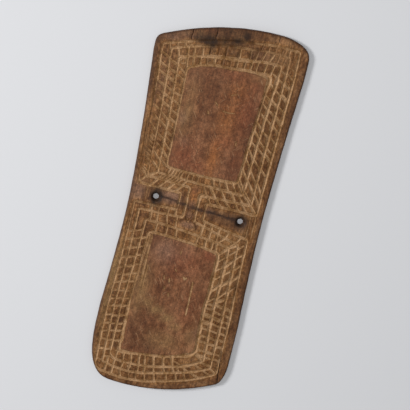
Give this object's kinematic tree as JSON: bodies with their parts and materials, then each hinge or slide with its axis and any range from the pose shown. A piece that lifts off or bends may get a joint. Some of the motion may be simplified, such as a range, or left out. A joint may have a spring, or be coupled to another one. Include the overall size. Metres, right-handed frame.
{
  "type": "carved wooden shield",
  "caption": "Waisted wooden board shield lying on its back, its face carved with a lattice round smooth panels, with lashing holes at the waist.",
  "frame": {"origin": "middle of the underside's box, on the surface the board lies on", "axes": "+Z out of the carved face, +Y along the board towards its wider top end, +X to the right as the face is seen"},
  "size_m": [0.357, 0.8999, 0.017],
  "materials": {
    "wood": "aged, hand rubbed, soil and smoke patina, pale worn grooves"
  },
  "bodies": {
    "root": {"shield_board": "wood"}
  },
  "joints": []
}
